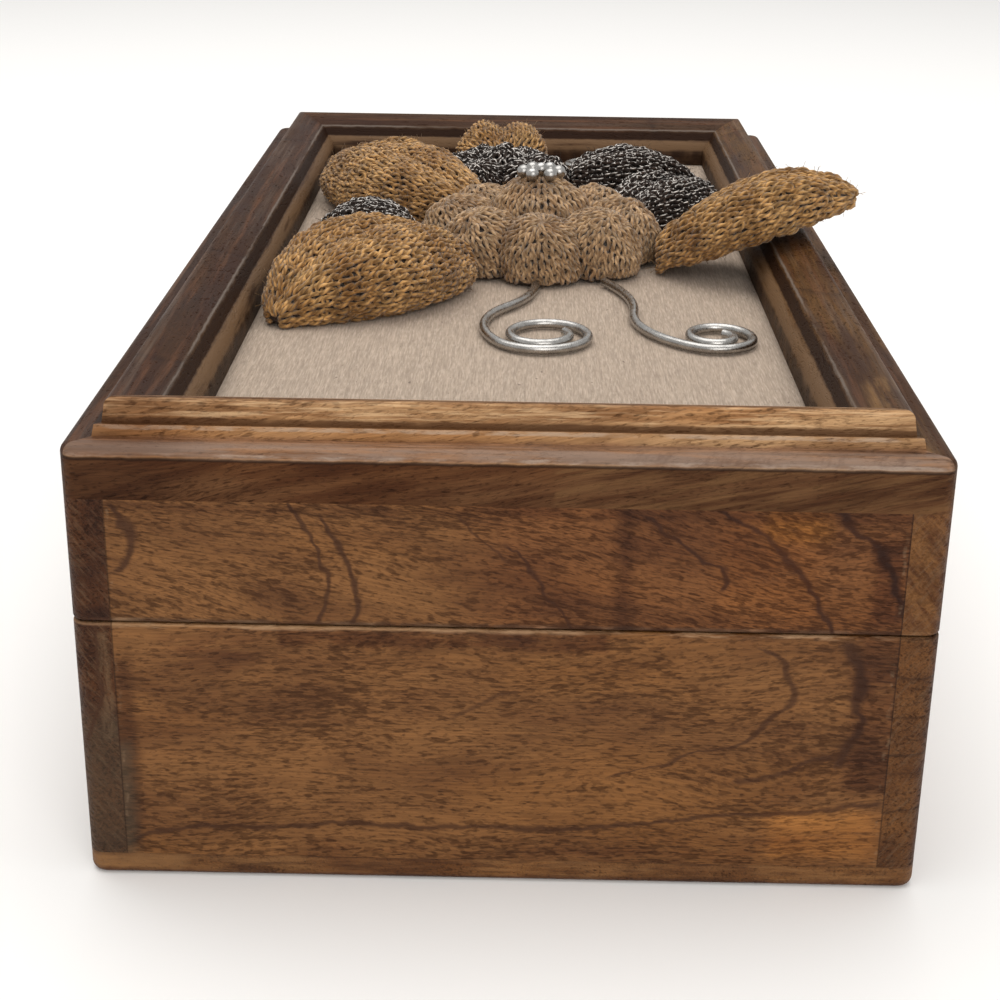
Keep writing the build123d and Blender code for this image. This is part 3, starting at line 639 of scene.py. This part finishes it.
# Tubes for yarn: a run of points becomes a closed tube with its own UV map
class TubeMesh:
    def __init__(self):
        self.points, self.faces, self.corners, self.slots = [], [], [], []

    # Rows of points joined into a skin: lengths are the rows' distances along it
    def skin(self, rows, lengths, across, slot, closed=False):
        width, start = len(rows[0]), len(self.points)
        for row in rows:
            self.points += row
        for i in range(len(lengths) - 1):
            a, b = start + i * width, start + (i + 1) % len(rows) * width
            for k in range(width):
                n = (k + 1) % width
                self.faces.append((a + k, a + n, b + n, b + k))
                low, high = k / across, (k + 1) / across
                self.corners += [(lengths[i], low), (lengths[i], high),
                                 (lengths[i + 1], high), (lengths[i + 1], low)]
        for i, order in () if closed else ((0, range(width)[::-1]), (-1, range(width))):
            self.faces.append([start + i % len(rows) * width + k for k in order])
            self.corners += [(lengths[i], k / across) for k in order]
        self.slots += [slot] * (len(self.faces) - len(self.slots))

    def run(self, path, radius, sides, slot, closed=False):
        count = len(path)
        if count < 3:
            return
        rows, lengths, side = [], [0], None
        for i, spot in enumerate(path):
            following = path[(i + 1) % count]
            before = path[i - 1] if closed or i else spot
            after = following if closed or i < count - 1 else spot
            way = (after - before).normalized()
            side = side or way.orthogonal().normalized()
            side = (side - way * side.dot(way)).normalized()
            lift = way.cross(side)
            rows.append([])
            for k in range(sides):
                turn = 2 * pi * k / sides
                rows[-1].append(spot + (side * cos(turn) + lift * sin(turn)) * radius)
            lengths.append(lengths[-1] + (following - spot).length)
        self.skin(rows, lengths if closed else lengths[:-1], sides, slot, closed)

    def build(self, name, materials):
        mesh = bpy.data.meshes.new(name)
        mesh.from_pydata(self.points, [], self.faces)
        for material in materials:
            mesh.materials.append(material)
        mesh.polygons.foreach_set("material_index", self.slots)
        mesh.polygons.foreach_set("use_smooth", [True] * len(self.faces))
        flat = [part for u, v in self.corners for part in (u / mm, v)]
        mesh.uv_layers.new(name="along").data.foreach_set("uv", flat)
        mesh.update()
        return addObject(name, mesh)


# Yarn: two twisted plies, tone drifting from stitch to stitch, and painted shade in its hollows
yarnLooks = {
    "ochre_yarn": dict(deep=(0.25, 0.118, 0.03), light=(0.58, 0.335, 0.125), hair=(0.84, 0.6, 0.32),
        gap=(0.07, 0.026, 0.006), twist=0.42, drift=0.12, roughness=0.8, sheen=0.25),
    "tan_yarn": dict(deep=(0.26, 0.15, 0.07), light=(0.5, 0.33, 0.18), hair=(0.62, 0.46, 0.3),
        gap=(0.14, 0.07, 0.03), twist=0.5, drift=0.15, roughness=0.75, sheen=0.3),
    "dark_yarn": dict(deep=(0.014, 0.008, 0.005), light=(0.04, 0.024, 0.017),
        hair=(0.1, 0.07, 0.055), gap=(0.004, 0.002, 0.002), twist=0.5, drift=0.2, roughness=0.75,
        sheen=0.05),
}


fibres = dict(noise=((1.2, 14, 1), 3, 0.7), edge=(0.55, 0.8), share=0.5, lift=0.5, patch=0.42,
              patchTone=(0.62, 1.3), hollow=0.6, bump=(0.0002, 0.8))


def makeYarn(name, look):
    material, tree, shader = newMaterial(name)
    uv = addNode(tree, "UVMap", {}, uv_map="along").outputs[0]
    parts = split(uv)
    turns = calc("MULTIPLY_ADD", parts["X"], look["twist"], multiply(parts["Y"], 2))
    ply = spread(calc("SINE", multiply(turns, 2 * pi)), -1, 0.6)
    place = millimetres(tree)
    drift = noise(place, look["drift"], 3, 0.6)
    hairs = noise(uv, *fibres["noise"])
    ground = mix(spread(drift, 0.3, 0.7), look["deep"], look["light"])
    patches = spread(noise(place, fibres["patch"]), 0.3, 0.7, *fibres["patchTone"])
    ground = scaled(ground, patches)
    ground = mix(spread(hairs, *fibres["edge"], 0, fibres["share"]), ground, look["hair"])
    # painted shade: the gap colour laid into the hollows between the plies
    ground = mix(multiply(subtract(1, ply), fibres["hollow"]), ground, look["gap"])
    height = add(ply, multiply(hairs, fibres["lift"]))
    fill(shader, {
        "Base Color": ground, "Roughness": look["roughness"], "Specular IOR Level": 0.2,
        "Sheen Weight": look["sheen"], "Normal": bump(height, *fibres["bump"]),
    })
    return material


# Each yarn, a darker copy of it painted as shade for the inside of a piece, and the strand carried
# along
yarnSlot, shadedInsideSlot, strandSlot = range(3)
silverStrand = makeMetal("silver_strand")
yarns = {}
for name, look in yarnLooks.items():
    # painted shade: the inside copy takes the yarn's gap and deep colours
    inside = dict(look, light=look["gap"], hair=look["deep"], deep=look["gap"])
    yarns[name] = [makeYarn(name, look), makeYarn(f"{name}_inside", inside), silverStrand]


# A row of points laid out evenly, with its outward directions and its width
def evenOut(row, rowOut):
    along = [0]
    for a, b in zip(row, row[1:]):
        along.append(along[-1] + (b - a).length)
    fresh, freshOut, j = [], [], 0
    for k in range(len(row)):
        want = along[-1] * k / (len(row) - 1)
        while j < len(row) - 2 and along[j + 1] < want:
            j += 1
        step = along[j + 1] - along[j]
        share = min(1, max(0, (want - along[j]) / step)) if step > 1e-9 else 0
        fresh.append(row[j].lerp(row[j + 1], share))
        freshOut.append(rowOut[j].lerp(rowOut[j + 1], share).normalized())
    return fresh, freshOut, along[-1]


# Points, outward directions and widths of a stuffed CAD solid, cast out from its spine
caster = dict(slices=30, around=33, inset=0.012, tries=80, spineHeight=0.38, clear=0.01)


def castGrid(name, heading, wrap):
    mesh = nodes[name].data
    points = [vertex.co.copy() for vertex in mesh.vertices]
    tree = BVHTree.FromPolygons(points, [tuple(face.vertices) for face in mesh.polygons])
    way = Vector((cos(heading), sin(heading), 0))
    across = Vector((-way.y, way.x, 0))
    low, high = min(p.dot(way) for p in points), max(p.dot(way) for p in points)
    left, right = min(p.dot(across) for p in points), max(p.dot(across) for p in points)
    above = upwards * (max(p.z for p in points) + caster["clear"])
    below = upwards * (min(p.z for p in points) - caster["clear"])
    slices, around, tries = caster["slices"], caster["around"], caster["tries"]
    steps = [left + (right - left) * k / tries for k in range(tries + 1)]
    spine = []
    for i in range(slices):
        share = caster["inset"] + (1 - 2 * caster["inset"]) * i / (slices - 1)
        at = way * (low + (high - low) * share)
        struck = [s for s in steps if tree.ray_cast(at + across * s + above, -upwards)[0]]
        middle = at + across * (min(struck) + max(struck)) / 2
        top = tree.ray_cast(middle + above, -upwards)[0].z
        bottom = tree.ray_cast(middle + below, upwards)[0].z
        spine.append(middle + upwards * (bottom + (top - bottom) * caster["spineHeight"]))
    smooth = [(a + b * 2 + c) / 4 for a, b, c in zip(spine, spine[1:], spine[2:])]
    rows = []
    for centre in [spine[0]] + smooth + [spine[-1]]:
        row, rowOut = [], []
        for k in range(around):
            turn = radians(wrap[0] + (wrap[1] - wrap[0]) * k / (around - 1))
            cast = across * cos(turn) + upwards * sin(turn)
            hit, normal = tree.ray_cast(centre, cast)[:2]
            if hit is None:
                hit, normal = centre + cast * mm, cast
            row.append(hit)
            rowOut.append(-normal if normal.dot(cast) < 0 else normal)
        rows.append(evenOut(row, rowOut))
    return zip(*rows)


def onGrid(grid, u, v):
    rows, columns = len(grid) - 1, len(grid[0]) - 1
    u, v = min(max(u, 0), 1) * rows, min(max(v, 0), 1) * columns
    i, k = min(int(u), rows - 1), min(int(v), columns - 1)
    a = grid[i][k].lerp(grid[i][k + 1], v - k)
    b = grid[i + 1][k].lerp(grid[i + 1][k + 1], v - k)
    return a.lerp(b, u - i)


knit = dict(
    stitch=2.8, row=2.15, yarn=0.5, loopWide=0.2, loopHigh=1.8, loopDeep=0.42, steps=12, sides=6,
    core=1.3, looseness=0.3, hairs=520, hairLength=3, hairRadius=0.05, hairSteps=4, curl=0.45,
    strand=0.2, strandTurn=1.35, strandReach=0.36, strandLift=0.75, strandSides=4, hairSides=3,
    hairRise=(0.5, 0.7), hairShare=(0.3, 1), hairBend=0.5,
)


# A row of plain knitting: the loop heads lie behind and the legs in front
def knitRow(place, stitches, size, closed=False):
    path = []
    count = stitches * size["steps"]
    for i in range(count if closed else count + 1):
        turn = 2 * pi * i / size["steps"]
        share = i / count + size["loopWide"] / stitches * sin(2 * turn)
        if not closed:
            share = min(max(share, 0), 1)
        point, outward = place(share, size["loopHigh"] * mm * cos(turn))
        deep = size["yarn"] + size["loopDeep"] * cos(2 * turn)
        path.append(point - outward * deep * mm)
    return path


def scatter(chooser, lift=(0, 1)):
    return Vector((chooser.gauss(0, 1), chooser.gauss(0, 1), chooser.gauss(*lift)))


# Looseness: every stitch is pushed a little its own way
def loosen(path, size, chooser):
    steps = size["steps"]
    count = len(path) // steps
    pushes = [scatter(chooser) * size["looseness"] * mm for i in range(count)]
    return [p + pushes[i // steps % count].lerp(pushes[(i // steps + 1) % count],
                                                i % steps / steps) for i, p in enumerate(path)]


def addHairs(tubes, chooser, size, paths):
    for i in range(size["hairs"]):
        hair = [chooser.choice(chooser.choice(paths))]
        way = scatter(chooser, size["hairRise"]).normalized()
        curl = scatter(chooser) * size["curl"]
        step = size["hairLength"] * mm * chooser.uniform(*size["hairShare"]) / size["hairSteps"]
        for k in range(size["hairSteps"]):
            way = (way + curl * size["hairBend"]).normalized()
            hair.append(hair[-1] + way * step)
        tubes.run(hair, size["hairRadius"] * mm, size["hairSides"], yarnSlot)


def addStrand(tubes, path):
    strand = []
    for i in range(len(path) * 2 - 1):
        spot = path[i // 2] if i % 2 == 0 else (path[i // 2] + path[i // 2 + 1]) / 2
        turn = i * knit["strandTurn"]
        reach = Vector((cos(turn), sin(turn), knit["strandLift"]))
        strand.append(spot + reach * knit["strandReach"] * mm)
    tubes.run(strand, knit["strand"] * mm, knit["strandSides"], strandSlot)


def finishKnit(tubes, name, ending, yarn):
    piece = tubes.build(f"{name}_{ending}", yarns[yarn])
    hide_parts(name)
    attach(piece, "lid")


upperSide, allRound = (-32, 212), (-90, 269)
leaves = {  # heading in degrees, yarn, seed of its looseness and fuzz, degrees it is knitted round
    "leaf_front_left": (228, "ochre_yarn", 1, upperSide),
    "leaf_left": (178, "dark_yarn", 2, upperSide),
    "leaf_back_left": (126, "ochre_yarn", 3, upperSide),
    "leaf_back_right": (46, "dark_yarn", 4, upperSide),
    "leaf_bud_left": (150, "ochre_yarn", 5, upperSide),
    "leaf_bud_right": (8, "dark_yarn", 6, upperSide),
    "leaf_back": (92, "ochre_yarn", 7, upperSide),
    "leaf_over_rail": (344, "ochre_yarn", 8, allRound),
    "knit_stem": (97.8, "ochre_yarn", 9, upperSide),
}


def makeKnitted(name, heading, yarn, seed, wrap):
    places, outwards, widths = castGrid(name, radians(heading), wrap)
    chooser = random.Random(seed)
    ridge = [row[len(row) // 2] for row in places]
    length = sum((b - a).length for a, b in zip(ridge, ridge[1:]))
    rows = max(3, round(length / (knit["row"] * mm)))
    tubes = TubeMesh()
    tubes.skin([[p - n * knit["core"] * mm for p, n in zip(row, rowOut)]
                for row, rowOut in zip(places, outwards)], range(len(places)), 1, shadedInsideSlot)
    paths = []
    for r in range(rows):
        u = (r + 0.5) / rows
        width = widths[round(u * (len(widths) - 1))]
        stitches = max(2, round(width / (knit["stitch"] * mm)))

        def place(share, shift):
            here = u + shift / length
            return onGrid(places, here, share), onGrid(outwards, here, share)

        path = loosen(knitRow(place, stitches, knit), knit, chooser)
        paths.append(path)
        tubes.run(path, knit["yarn"] * mm, knit["sides"], yarnSlot)
        if yarn == "dark_yarn":
            addStrand(tubes, path)
    addHairs(tubes, chooser, knit, paths)
    finishKnit(tubes, name, "knit", yarn)


for name, leaf in leaves.items():
    makeKnitted(name, *leaf)
print("stage: knitted leaves and stem")


# Rosettes: rings of stitches round every petal and round the button
rosettes = {
    "knit_rosette": dict(centre=(6, 5), petals=8, petal=10.5, ring=18.5, petalHeight=4.5, button=13,
        buttonHeight=7, yarn="tan_yarn", seed=21),
    "knit_bud": dict(centre=(-4, 78), petals=6, petal=7.5, ring=11, petalHeight=3.5, button=8,
        buttonHeight=5, yarn="dark_yarn", seed=22),
}
crochet = dict(knit, hairs=420, steps=10, firstRow=0.62, lastRow=112, petalLean=0.45, merge=1.5,
               coreRows=12, coreSides=20)
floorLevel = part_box("knit_rosette")[0].z


def domeRings(tubes, dome, domes, chooser):
    centre, radius, axis = dome
    e1 = axis.orthogonal().normalized()
    e2 = axis.cross(e1)
    thick, row = crochet["yarn"] * mm, crochet["row"] * mm / radius
    merge = crochet["merge"] * thick
    turn = crochet["firstRow"] * row
    paths = []
    while turn < radians(crochet["lastRow"]):
        around = 2 * pi * radius * sin(turn)
        stitches = max(4, round(around / (crochet["stitch"] * mm)))

        def place(share, shift):
            lift, phi = turn + shift / radius, 2 * pi * share
            level = e1 * cos(phi) + e2 * sin(phi)
            out = axis * cos(lift) + level * sin(lift)
            return centre + out * radius, out

        # Parts inside another dome or under the linen are left out
        runs = [[]]
        for p in loosen(knitRow(place, stitches, crochet, closed=True), crochet, chooser):
            hidden = (p.z < floorLevel + thick or (p - other[0]).length < other[1] - merge
                      for other in domes if other is not dome)
            if any(hidden):
                runs.append([])
            else:
                runs[-1].append(p)
        whole = len(runs) == 1
        for run in runs:
            if whole or len(run) > 3:
                tubes.run(run, thick, crochet["sides"], yarnSlot, closed=whole)
                paths.append(run)
        turn += row
    return paths


def makeRosette(name, rosette):
    chooser = random.Random(rosette["seed"])
    x, y = rosette["centre"]
    middle = Vector((x * mm, y * mm, floorLevel))
    button = middle + upwards * rosette["buttonHeight"] * mm
    domes = [(button, rosette["button"] * mm, upwards)]
    for i in range(rosette["petals"]):
        turn = 2 * pi * i / rosette["petals"]
        out = Vector((cos(turn), sin(turn), 0))
        petal = middle + out * rosette["ring"] * mm + upwards * rosette["petalHeight"] * mm
        axis = (out * crochet["petalLean"] + upwards).normalized()
        domes.append((petal, rosette["petal"] * mm, axis))
    tubes = TubeMesh()
    paths = []
    rowCount, around = crochet["coreRows"], crochet["coreSides"]
    for dome in domes:
        paths += domeRings(tubes, dome, domes, chooser)
        centre, radius, axis = dome
        rows = []
        for i in range(1, rowCount):
            lift, row = pi * i / rowCount, []
            for k in range(around):
                phi = 2 * pi * k / around
                out = Vector((sin(lift) * cos(phi), sin(lift) * sin(phi), cos(lift)))
                row.append(centre + out * (radius - crochet["core"] * mm))
                row[-1].z = max(row[-1].z, floorLevel)
            rows.append(row)
        tubes.skin(rows, range(len(rows)), 1, shadedInsideSlot)
    if rosette["yarn"] == "dark_yarn":
        for path in paths:
            addStrand(tubes, path)
    addHairs(tubes, chooser, crochet, paths)
    finishKnit(tubes, name, "yarn", rosette["yarn"])


for name, rosette in rosettes.items():
    makeRosette(name, rosette)
print("stage: rosettes")


# Linen stretched over the panel board, turned down round its edges and under it
linen = dict(
    thickness=0.6, turnUnder=12, crownRound=5, cornerRadius=9, crownClear=0.8, thread=0.55,
    cells=(62, 146), roughness=0.9, sheen=0.15, deep=(0.385, 0.3, 0.23), light=(0.535, 0.42, 0.325),
    slub=(0.56, 0.45, 0.355), gap=(0.24, 0.17, 0.12), cloud=(0.38, 0.3, 0.24),
    paleFleck=(0.7, 0.575, 0.465), darkFleck=(0.28, 0.21, 0.155), speck=(0.11, 0.07, 0.05),
    wobble=0.5, slubLift=2, crossLift=1.2, bump=(0.00012, 0.7),
)


def crownShare(x, y, crownWidth, crownLength):
    radius = linen["cornerRadius"] * mm
    dx, dy = abs(x) - (crownWidth - radius), abs(y) - (crownLength - radius)
    outside = hypot(max(dx, 0), max(dy, 0)) + min(max(dx, dy), 0) - radius
    inward = min(max(-outside / (linen["crownRound"] * mm), 0), 1)
    return sqrt(1 - (1 - inward) ** 2)


linenMaterial, tree, shader = newMaterial("linen")
place = millimetres(tree)
parts, wobble = split(place), multiply(noise(place, 0.35), linen["wobble"])
pitch = 2 * pi / linen["thread"]
weave = multiply(*(calc("SINE", multiply(add(parts[axis], wobble), pitch)) for axis in "XY"))
slubs = noise(place, (2.4, 0.1, 1), 3, 0.7)
crossSlubs = noise(place, (0.22, 2.4, 1), 3, 0.7)
fleck = noise(place, (3.4, 0.32, 1), 1)
ground = mix(spread(slubs, 0.3, 0.72), linen["deep"], linen["light"])
for mask, levels, colour in (
        (crossSlubs, (0.5, 0.8, 0, 0.3), "slub"), (weave, (-1, 0.2, 0.35, 0), "gap"),
        (noise(place, 0.03, 3), (0.35, 0.7, 0, 0.14), "cloud"),
        (fleck, (0.52, 0.72, 0, 0.42), "paleFleck"),
        (fleck, (0.44, 0.28, 0, 0.5), "darkFleck"),
        (noise(place, (0.9, 0.5, 0.5), 1), (0.74, 0.8, 0, 0.7), "speck")):
    ground = mix(spread(mask, *levels), ground, linen[colour])
height = add(weave, multiply(slubs, linen["slubLift"]))
height = add(height, multiply(crossSlubs, linen["crossLift"]))
fill(shader, {
    "Base Color": ground, "Roughness": linen["roughness"], "Sheen Weight": linen["sheen"],
    "Specular IOR Level": 0.2, "Normal": bump(height, *linen["bump"]),
})

low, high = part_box("linen_cover")
thickness, clear = linen["thickness"] * mm, linen["crownClear"] * mm
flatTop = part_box("panel_board")[1].z + thickness
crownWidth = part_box("frame_right_rail")[0].x - clear
crownLength = -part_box("frame_front_rail")[1].y - clear
countX, countY = linen["cells"]
points, faces = [], []
for j in range(countY + 1):
    for i in range(countX + 1):
        x = low.x + (high.x - low.x) * i / countX
        y = low.y + (high.y - low.y) * j / countY
        inside = abs(x) < crownWidth and abs(y) < crownLength
        rise = crownShare(x, y, crownWidth, crownLength) if inside else 0
        points.append((x, y, flatTop + (high.z - flatTop) * rise))
row = countX + 1
for j in range(countY):
    for a in range(j * row, j * row + countX):
        faces.append((a, a + 1, a + row + 1, a + row))
last = countY * row
edge = [*range(countX), *range(countX, last + countX, row),
        *range(last + countX, last, -1), *range(last, 0, -row)]
for inset in (0, linen["turnUnder"] * mm):
    fresh = []
    for index in edge:
        x, y, z = points[index]
        fresh.append(len(points))
        points.append((max(min(x, high.x - inset), low.x + inset),
                       max(min(y, high.y - inset), low.y + inset), low.z))
    for k in range(len(edge)):
        n = (k + 1) % len(edge)
        faces.append((edge[n], edge[k], fresh[k], fresh[n]))
    edge = fresh
mesh = bpy.data.meshes.new("linen_sheet")
mesh.from_pydata(points, [], faces)
mesh.polygons.foreach_set("use_smooth", [True] * len(faces))
mesh.materials.append(linenMaterial)
piece = addObject("linen_sheet", mesh)
solid = piece.modifiers.new("cloth", "SOLIDIFY")
solid.thickness, solid.offset = thickness, -1
bpy.ops.object.select_all(action="DESELECT")
bpy.context.view_layer.objects.active = piece
piece.select_set(True)
bpy.ops.object.modifier_apply(modifier="cloth")
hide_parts("linen_cover")
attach(piece, "lid")
print("stage: linen")


# Pale floor, soft studio light and the camera
studio = dict(
    floor=6, paleness=0.96, roughness=0.9, worldStrength=0.64, worldColour=(1, 0.985, 0.96),
)
lights = {
    "overhead": dict(at=(-0.1, 0.25, 1.3), aim=(0, 0, 0.05), size=1.4, power=12,
        colour=(1, 0.98, 0.95)),
    "front_fill": dict(at=(0.35, -1.5, 0.8), aim=(0, -0.1, 0.05), size=1.2, power=10,
        colour=(1, 0.97, 0.93)),
}
cameraView = dict(at=(1.8, -429.9, 188), lens=65.9, turn=0.6, down=21.751, roll=0.806)

floorMaterial, tree, shader = newMaterial("studio_floor")
fill(shader, {"Base Color": (studio["paleness"],) * 3, "Roughness": studio["roughness"]})
bpy.ops.mesh.primitive_plane_add(size=studio["floor"])
floor = bpy.context.object
floor.name = "studio_floor"
floor.data.materials.append(floorMaterial)

world = bpy.data.worlds.new("studio")
bpy.context.scene.world = world
world.use_nodes = True
fill(world.node_tree.nodes["Background"], {
    "Color": studio["worldColour"], "Strength": studio["worldStrength"]})

for name, light in lights.items():
    data = bpy.data.lights.new(name, "AREA")
    data.energy, data.size, data.color = light["power"], light["size"], light["colour"]
    lamp = addObject(name, data)
    lamp.location = light["at"]
    aim = Vector(light["aim"]) - Vector(light["at"])
    lamp.rotation_euler = aim.to_track_quat("-Z", "Y").to_euler()

cameraData = bpy.data.cameras.new("camera")
cameraData.lens, cameraData.sensor_width = cameraView["lens"], 36
cameraData.clip_start = 0.01
camera = addObject("camera", cameraData)
view = Matrix.Translation(Vector(cameraView["at"]) * mm)
for degrees, axis in ((cameraView["turn"], "Z"), (90 - cameraView["down"], "X"),
                      (cameraView["roll"], "Z")):
    view @= Matrix.Rotation(radians(degrees), 4, axis)
camera.matrix_world = view
bpy.context.scene.camera = camera
bpy.context.scene.view_settings.view_transform = "Standard"
print("stage: studio")
